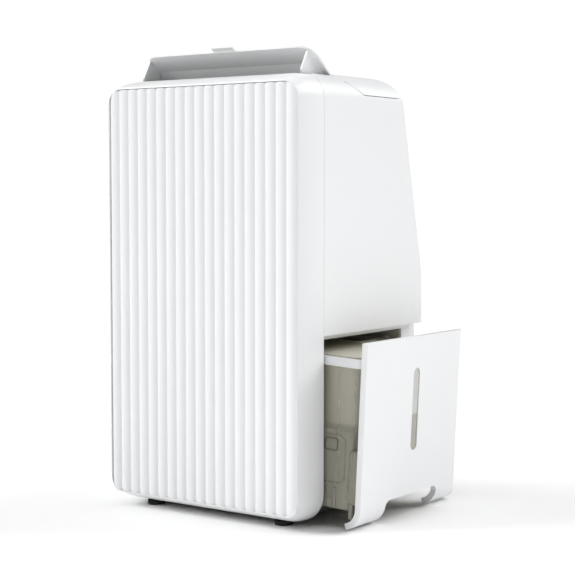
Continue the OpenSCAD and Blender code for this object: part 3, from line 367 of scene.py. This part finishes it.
# Case shells and small fittings keep their worked-out shapes. Real mouldings have no knife edges,
# so each gets the small radius that its tool leaves.
WELD = 2e-6
FLAT_ANGLE = 0.6
EDGE_ANGLE = 34
SHADE_ANGLE = 40


def eased_copy(node, name, material, body, radius_mm):
    """Add a copy of a worked-out piece with its edges rounded over, in the piece's stead."""
    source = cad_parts[node]
    bm = bmesh.new()
    bm.from_mesh(source.data)
    bmesh.ops.remove_doubles(bm, verts=bm.verts, dist=WELD)
    bmesh.ops.dissolve_limit(bm, angle_limit=math.radians(FLAT_ANGLE), verts=bm.verts, edges=bm.edges)
    sharp = [e for e in bm.edges if e.is_manifold and e.calc_face_angle(0) > math.radians(EDGE_ANGLE)]
    bmesh.ops.bevel(bm, geom=sharp, offset=radius_mm * MM, segments=3, profile=0.5,
                    affect="EDGES", material=-1, clamp_overlap=True, miter_outer="ARC")
    data = bpy.data.meshes.new(name)
    bm.to_mesh(data)
    bm.free()
    data.materials.append(material)
    data.shade_smooth()
    data.set_sharp_from_angle(angle=math.radians(SHADE_ANGLE))
    obj = bpy.data.objects.new(name, data)
    bpy.context.scene.collection.objects.link(obj)
    weigh = obj.modifiers.new("even_shading", "WEIGHTED_NORMAL")
    weigh.keep_sharp = True
    weigh.weight = 100
    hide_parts(node)
    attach(obj, body)


eased_copy("body_shell", "rear_case_shell", white_abs, "root", 0.5)
eased_copy("carry_handle", "carrying_handle", white_abs, "handle", 0.6)
eased_copy("tank_cover", "tank_front_cover", white_abs, "tank", 0.9)
eased_copy("flap", "air_outlet_flap", white_abs, "outlet_flap", 0.5)

# Hollow of the flap: its underside sweeps down to the hinge in one concave fillet between the two
# cheeks, which turns the air forwards. It is moulded in one with the flap, in the same white ABS.
FLAP_HINGE = (0, -51 * MM, 492 * MM)
FLAP_OPEN = math.radians(-38)
FLAP_UNDERSIDE = 4.7 * MM
HOLLOW_HALF = 111.3 * MM
HOLLOW_R = 17 * MM
HOLLOW_Y = -24 * MM
HOLLOW_FOOT = -5 * MM
hollow_z = FLAP_UNDERSIDE - HOLLOW_R
turns = [math.radians(t) for t in range(90, 24, -5)]
outline = [(HOLLOW_Y + HOLLOW_R * math.cos(t), hollow_z + HOLLOW_R * math.sin(t)) for t in turns]
outline += [(HOLLOW_FOOT, outline[-1][1]), (HOLLOW_FOOT, FLAP_UNDERSIDE)]
bm = bmesh.new()
ring = [bm.verts.new((-HOLLOW_HALF, y, z)) for y, z in outline]
side = bmesh.ops.contextual_create(bm, geom=ring)["faces"]
pulled = bmesh.ops.extrude_face_region(bm, geom=side, use_keep_orig=True)["geom"]
far_side = [g for g in pulled if isinstance(g, bmesh.types.BMVert)]
bmesh.ops.translate(bm, vec=(2 * HOLLOW_HALF, 0, 0), verts=far_side)
bm.transform(Matrix.Translation(FLAP_HINGE) @ Matrix.Rotation(FLAP_OPEN, 4, "X"))
hollow = new_object("air_outlet_flap_hollow", bm, white_abs, 30)
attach(hollow, "outlet_flap")


# Base, bay, feet: grey ABS inside, where the tank slides, and a darker pan under the compressor.
# The feet, the compressor's buffers, the drain's stopper and the cord's gland are black rubber.
def finish(names, material):
    """Give worked-out pieces their finish; their shapes stay as they are."""
    for name in names:
        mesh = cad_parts[name].data
        mesh.materials.clear()
        mesh.materials.append(material)


bay_grey = moulded("grey_abs_spark_grain", "#cfcdc2", 0.48, drift=0.07)
pan_grey = moulded("dark_grey_abs_base", "#74767a", 0.5, drift=0.08)
rubber = moulded("black_rubber_moulded", "#242425", 0.78, grain_mm=0.8, grain_depth_mm=0.03, drift=0.2)
finish(["tank_bay"], bay_grey)
finish(["base_pan"], pan_grey)
finish(["feet", "compressor_grommets", "drain_plug", "cord_gland"], rubber)


# Outlet grille and ducts: white ABS grille, and expanded polystyrene scroll halves and air guide,
# whose pressed beads, about 3 mm wide, show as a shallow cell pattern.
def beaded(name, colour, bead_mm):
    """Material of expanded polystyrene, with the outlines of its pressed beads."""
    material = bpy.data.materials.new(name)
    material.use_nodes = True
    tree = material.node_tree
    shader = tree.nodes["Principled BSDF"]
    shader.inputs["IOR"].default_value = 1.5
    spot = add(tree, "ShaderNodeTexCoord").outputs["Object"]
    cells = add(tree, "ShaderNodeTexVoronoi", [("Vector", spot)],
                feature="DISTANCE_TO_EDGE", Scale=1 / (bead_mm * MM))
    seam = add(tree, "ShaderNodeMapRange", [("Value", cells.outputs["Distance"])], From_Max=0.16)
    tint = add(tree, "ShaderNodeMix", [("Factor", seam.outputs["Result"])], data_type="RGBA")
    light = to_linear(colour)
    tint.inputs[6].default_value = tuple(c * 0.84 for c in light[:3]) + (1.0,)
    tint.inputs[7].default_value = light
    tree.links.new(tint.outputs[2], shader.inputs["Base Color"])
    dull = add(tree, "ShaderNodeMapRange", [("Value", seam.outputs["Result"])], To_Min=0.85, To_Max=0.62)
    tree.links.new(dull.outputs["Result"], shader.inputs["Roughness"])
    bump = add(tree, "ShaderNodeBump", [("Height", seam.outputs["Result"])], Strength=0.7, Distance=0.15 * MM)
    tree.links.new(bump.outputs["Normal"], shader.inputs["Normal"])
    return material


foam = beaded("white_expanded_polystyrene", "#eeefec", 3.0)
finish(["air_guide", "scroll_front", "scroll_rear"], foam)
finish(["float"], beaded("white_float_foam", "#e9e9e2", 2.0))
finish(["impeller"], moulded("black_glass_filled_nylon", "#2b2c2e", 0.42, grain_mm=0.7, drift=0.15))
finish(["outlet_frame", "drip_tray", "power_box", "power_box_lid"],
       moulded("off_white_abs_inner", "#eeefee", 0.45, drift=0.05))


# Cooling circuit: drawn copper tube, dulled by handling, rolled aluminium fins with fine drawing
# lines, and a black enamelled steel compressor and accumulator with a slight orange peel.
def metal(name, colour, roughness, line_mm, stretch, spread):
    """Material of bare metal with drawing lines along one axis and a patchy dullness."""
    material = bpy.data.materials.new(name)
    material.use_nodes = True
    tree = material.node_tree
    shader = tree.nodes["Principled BSDF"]
    shader.inputs["Metallic"].default_value = 1.0
    spot = add(tree, "ShaderNodeTexCoord").outputs["Object"]
    lines = add(tree, "ShaderNodeMapping", [("Vector", spot)], Scale=stretch)
    grain = add(tree, "ShaderNodeTexNoise", [("Vector", lines.outputs["Vector"])],
                Scale=1 / (line_mm * MM), Detail=3.0)
    patch = add(tree, "ShaderNodeTexNoise", [("Vector", spot)], Scale=40.0, Detail=4.0)
    tint = add(tree, "ShaderNodeMix", [("Factor", patch.outputs["Fac"])], data_type="RGBA")
    light = to_linear(colour)
    tint.inputs[6].default_value = tuple(c * (1 - spread) for c in light[:3]) + (1.0,)
    tint.inputs[7].default_value = light
    tree.links.new(tint.outputs[2], shader.inputs["Base Color"])
    shine = add(tree, "ShaderNodeMapRange", [("Value", grain.outputs["Fac"])],
                To_Min=roughness - 0.08, To_Max=roughness + 0.1)
    tree.links.new(shine.outputs["Result"], shader.inputs["Roughness"])
    bump = add(tree, "ShaderNodeBump", [("Height", grain.outputs["Fac"])], Strength=0.4, Distance=0.01 * MM)
    tree.links.new(bump.outputs["Normal"], shader.inputs["Normal"])
    return material


finish(["evaporator_tubes", "condenser_tubes", "suction_pipe", "discharge_pipe", "capillary_pipe"],
       metal("drawn_copper_tube", "#c67f5c", 0.32, 0.6, (1, 1, 1), 0.35))
finish(["evaporator_fins", "condenser_fins"],
       metal("rolled_aluminium_fin", "#c4c6c8", 0.38, 0.5, (1, 1, 0.05), 0.15))
steel = metal("zinc_plated_steel", "#b6b8ba", 0.34, 0.4, (1, 1, 0.2), 0.2)
finish(["housing_screws", "handle_pins", "compressor_studs", "capacitor"], steel)
enamel = moulded("black_baked_enamel", "#1d1e20", 0.3, grain_mm=1.6, grain_depth_mm=0.03, drift=0.2, coat=0.5)
finish(["compressor", "accumulator", "fan_motor", "float_switch", "float_magnet"], enamel)

# Boards: glass-fibre epoxy under glossy green solder mask, whose tone changes where copper lies
# beneath it.
finish(["control_board", "humidity_sensor"],
       moulded("green_epoxy_board", "#1f5a38", 0.32, grain_mm=1.0, grain_depth_mm=0.01, drift=0.45, coat=0.4))

# Air filter: nylon net of about 0.8 mm mesh in a snap-in polypropylene frame, drawn at 1.6 mm so
# that the threads show. The drain's spigot below it is polypropylene in its natural colour.
THREAD_SPACING = 1.6 * MM
WAVE_TURN = 20  # radians that a wave texture turns through for each unit of its scale
net = bpy.data.materials.new("woven_nylon_net")
net.use_nodes = True
net_tree = net.node_tree
net_shader = net_tree.nodes["Principled BSDF"]
net_place = add(net_tree, "ShaderNodeTexCoord").outputs["Object"]
warp, weft = (
    add(net_tree, "ShaderNodeTexWave", [("Vector", net_place)], bands_direction=way,
        Scale=2 * math.pi / WAVE_TURN / THREAD_SPACING)
    for way in ("X", "Z"))
threads = add(net_tree, "ShaderNodeMath", [(0, warp.outputs["Fac"]), (1, weft.outputs["Fac"])],
              operation="MAXIMUM")
net_tint = add(net_tree, "ShaderNodeMix", [("Factor", threads.outputs["Value"])], data_type="RGBA")
net_tint.inputs[6].default_value = to_linear("#2c2e30")
net_tint.inputs[7].default_value = to_linear("#8b8e92")
net_tree.links.new(net_tint.outputs[2], net_shader.inputs["Base Color"])
net_dull = add(net_tree, "ShaderNodeMapRange", [("Value", threads.outputs["Value"])],
               To_Min=0.9, To_Max=0.5)
net_tree.links.new(net_dull.outputs["Result"], net_shader.inputs["Roughness"])
net_bump = add(net_tree, "ShaderNodeBump", [("Height", threads.outputs["Value"])],
               Strength=0.8, Distance=0.3 * MM)
net_tree.links.new(net_bump.outputs["Normal"], net_shader.inputs["Normal"])
finish(["filter_mesh"], net)
finish(["filter_frame"], moulded("pale_grey_polypropylene", "#c9ccce", 0.42, drift=0.05))
finish(["drain_spigot"], moulded("natural_polypropylene", "#e3e4df", 0.4, drift=0.05))

# Water tank: injection-moulded polypropylene with a smoky beige tint, cloudy rather than clear. Its
# front wall steps back along a soft ledge, and ribs behind the cover hold that in place. It is
# drawn out and leans on its bail, as in use.
# line about which the tank leans, as drawn out and at home
TANK_PIVOT_OUT = 104 * MM
TANK_PIVOT_IN = 49 * MM
TANK_PIVOT_Z = 187 * MM
TANK_LEAN = math.radians(2.83)
# outer faces of the tank as it stands home in its bay
TANK_X = (-10 * MM, 126 * MM)
TANK_Y = (-85.5 * MM, 92 * MM)
TANK_Z = (24.5 * MM, 190.5 * MM)
TANK_WALL_MM = 2
TANK_STEP = 5 * MM
LEDGE_Z = 111 * MM
LEDGE_RISE = 8 * MM
TANK_CORNER = 12 * MM
CORNER_STEPS = 10
STREAK_WIDTH = 12 * MM
drawn = (Matrix.Translation((TANK_PIVOT_OUT, 0, TANK_PIVOT_Z)) @ Matrix.Rotation(TANK_LEAN, 4, "Y")
         @ Matrix.Translation((-TANK_PIVOT_IN, 0, -TANK_PIVOT_Z)))


def cloudy(name, upper, lower, level_z, fade, roughness, clear):
    """Material of tinted polypropylene: flow streaks, and a deeper tone below a level."""
    material = bpy.data.materials.new(name)
    material.use_nodes = True
    tree = material.node_tree
    shader = tree.nodes["Principled BSDF"]
    shader.inputs["IOR"].default_value = 1.49
    shader.inputs["Transmission Weight"].default_value = clear
    spot = add(tree, "ShaderNodeTexCoord").outputs["Object"]
    height = add(tree, "ShaderNodeSeparateXYZ", [("Vector", spot)]).outputs["Z"]
    rise = add(tree, "ShaderNodeMapRange", [("Value", height)],
               From_Min=level_z - fade, From_Max=level_z + fade)
    depth = add(tree, "ShaderNodeMix", [("Factor", rise.outputs["Result"])], data_type="RGBA")
    depth.inputs[6].default_value = to_linear(lower)
    depth.inputs[7].default_value = to_linear(upper)
    flow = add(tree, "ShaderNodeMapping", [("Vector", spot)], Scale=(1, 1, 0.08))
    streak = add(tree, "ShaderNodeTexNoise", [("Vector", flow.outputs["Vector"])],
                 Scale=1 / STREAK_WIDTH, Detail=3.0)
    shade = add(tree, "ShaderNodeMapRange", [("Value", streak.outputs["Fac"])], To_Min=0.86, To_Max=1.06)
    tint = add(tree, "ShaderNodeVectorMath", [(0, depth.outputs[2]), (1, shade.outputs["Result"])],
               operation="MULTIPLY")
    tree.links.new(tint.outputs["Vector"], shader.inputs["Base Color"])
    dull = add(tree, "ShaderNodeMapRange", [("Value", streak.outputs["Fac"])],
               To_Min=roughness - 0.06, To_Max=roughness + 0.06)
    tree.links.new(dull.outputs["Result"], shader.inputs["Roughness"])
    bump = add(tree, "ShaderNodeBump", [("Height", streak.outputs["Fac"])], Strength=0.3, Distance=0.15 * MM)
    tree.links.new(bump.outputs["Normal"], shader.inputs["Normal"])
    return material


tank_plastic = cloudy("smoked_polypropylene_moulded", "#c3c0b0", "#a09e8f", 112 * MM, 6 * MM, 0.28, 0.15)


def plan_loop(bm, z, inset):
    """Outline of the tank from above at a height, inside its outer face."""
    y0 = TANK_Y[0] + TANK_STEP * ease((z - LEDGE_Z) / LEDGE_RISE) + inset
    x0, x1, y1 = TANK_X[0] + inset, TANK_X[1] - inset, TANK_Y[1] - inset
    r = TANK_CORNER - inset
    corners = [(x1 - r, y1 - r, 0), (x0 + r, y1 - r, 90), (x0 + r, y0 + r, 180), (x1 - r, y0 + r, 270)]
    points = []
    for cx, cy, turn in corners:
        for k in range(CORNER_STEPS + 1):
            a = math.radians(turn + 90 / CORNER_STEPS * k)
            points.append((cx + r * math.cos(a), cy + r * math.sin(a), z))
    return closed_loop(bm, points)


def lump(bm, low, high, round_mm):
    """Add a closed block with rounded edges, given in millimetres."""
    made = bmesh.ops.create_cube(bm, size=1.0)["verts"]
    low, high = Vector(low) * MM, Vector(high) * MM
    bmesh.ops.scale(bm, vec=high - low, verts=made)
    bmesh.ops.translate(bm, vec=(low + high) / 2, verts=made)
    edges = list({e for v in made for e in v.link_edges})
    bmesh.ops.bevel(bm, geom=edges, offset=round_mm * MM, segments=3, profile=0.5,
                    affect="EDGES", material=-1, clamp_overlap=True)


def raised_ring(bm, centre_x, centre_z, half_x, half_z, r, width, y0, y1):
    """Add a raised line that runs round a rounded rectangle on the front wall, in millimetres."""
    before = set(bm.verts)
    soft = 0.2
    profile = [(0, y1), (0, y0 + soft), (soft, y0), (width - soft, y0), (width, y0 + soft), (width, y1)]
    loops = [rounded_loop(bm, (half_x - i) * MM, -(half_z - i) * MM, (half_z - i) * MM, (r - i) * MM,
                          y * MM, per_corner=6, per_side=4)
             for i, y in profile]
    skin(bm, loops, True)
    fresh = [v for v in bm.verts if v not in before]
    bmesh.ops.translate(bm, vec=(centre_x * MM, 0, centre_z * MM), verts=fresh)


bm = bmesh.new()
z0, z1 = TANK_Z
# loops from the floor up the outside, over the brim and down the inside: each one's height, and how
# many millimetres it lies inside the outer face
outer = [(z0, 3.2), (z0 + 0.5 * MM, 1.7), (z0 + 1.6 * MM, 0.5), (z0 + 3.4 * MM, 0), (LEDGE_Z - 8 * MM, 0)]
ledge = [(LEDGE_Z + LEDGE_RISE * k / 8, 0) for k in range(9)]
brim = [(z1 - 0.5 * MM, 0), (z1, 0.5), (z1, 1.5), (z1 - 0.5 * MM, TANK_WALL_MM)]
inner = [(z, TANK_WALL_MM) for z, _ in reversed(ledge)]
inner += [(z0 + 5 * MM, TANK_WALL_MM), (z0 + 3 * MM, 3), (z0 + 2 * MM, 5)]
loops = [plan_loop(bm, z, inset * MM) for z, inset in outer + ledge + brim + inner]
skin(bm, loops, False)
for loop in (loops[0], loops[-1]):
    bmesh.ops.contextual_create(bm, geom=loop)
# two ribs that carry the cover
for y in (-69.5, 76.0):
    lump(bm, (125.5, y - 2, 32.5), (132.9, y + 2, 110), 0.6)
# upright channel at the front corner, the tongue below it and the bar beside it
lump(bm, (118, -84.9, 31), (132.9, -73.5, 92), 4.0)
lump(bm, (122, -84.9, 16), (127, -73.5, 33), 1.2)
lump(bm, (102.4, -87.0, 27), (106, -85.0, 49), 0.8)
# two lugs of the float inside the front wall, and the bridge over them
for y in (-79.5, -56.5):
    lump(bm, (100, y, 145), (110, y + 3, 155), 0.4)
lump(bm, (100, -79.5, 154), (110, -53.5, 156), 0.4)
# line round the panel of the front wall
raised_ring(bm, centre_x=98, centre_z=80, half_x=18, half_z=27, r=9, width=1.4, y0=-86.4, y1=-85.3)
bm.transform(drawn)
tank = new_object("water_tank_moulding", bm, tank_plastic, 36)
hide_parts("tank_body")
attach(tank, "tank")

# Outline of the tank's float pocket: a dark grey line round a small rounded rectangle, drawn as a ridge that
# stands about a millimetre proud of the front wall.
bm = bmesh.new()
raised_ring(bm, centre_x=97.5, centre_z=96, half_x=8.5, half_z=7, r=3, width=1.1, y0=-86.6, y1=-85.4)
bm.transform(drawn)
dark_line_grey = moulded("dark_grey_line", "#6d6c64", 0.5, drift=0.1)
pocket_line = new_object("float_pocket_outline", bm, dark_line_grey, 30)
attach(pocket_line, "tank")

# Lid, bail and level window: a paler lid that snaps on, a white bail that swings on two pins, and a
# clear window, deeper in tone where water stands behind it.
lid_plastic = cloudy("cloudy_polypropylene_lid", "#e6e3d4", "#d8d5c5", 190 * MM, 10 * MM, 0.35, 0.1)
eased_copy("tank_lid", "tank_snap_lid", lid_plastic, "tank", 0.4)
eased_copy("tank_handle", "tank_bail_handle", white_abs, "tank_bail", 0.7)
window_plastic = cloudy("clear_san_window", "#dedddb", "#bdbcb1", 118 * MM, 1.2 * MM, 0.12, 0.2)
finish(["tank_window"], window_plastic)

# Rear grille: white ABS louvres, moulded in one with their frame. It slides along the leaning back
# together with the air filter behind it.
finish(["rear_grille"], white_abs)

# Controls: a smooth white panel, a gloss smoked acrylic window and five soft-touch grey keys, which
# stand in the panel's holes.
eased_copy("control_panel", "control_top_panel", white_abs, "root", 0.4)
acrylic = moulded("smoked_acrylic_gloss", "#0d0e10", 0.08, grain_mm=3.0, grain_depth_mm=0.002,
                  drift=0.3, coat=0.6)
eased_copy("display_window", "display_cover", acrylic, "root", 0.3)
key_grey = moulded("grey_soft_touch_key", "#a9adb1", 0.55, drift=0.06)
for key in ("power", "mode", "fan", "humidity", "timer"):
    eased_copy("button_" + key, key + "_key", key_grey, "key_" + key, 0.6)
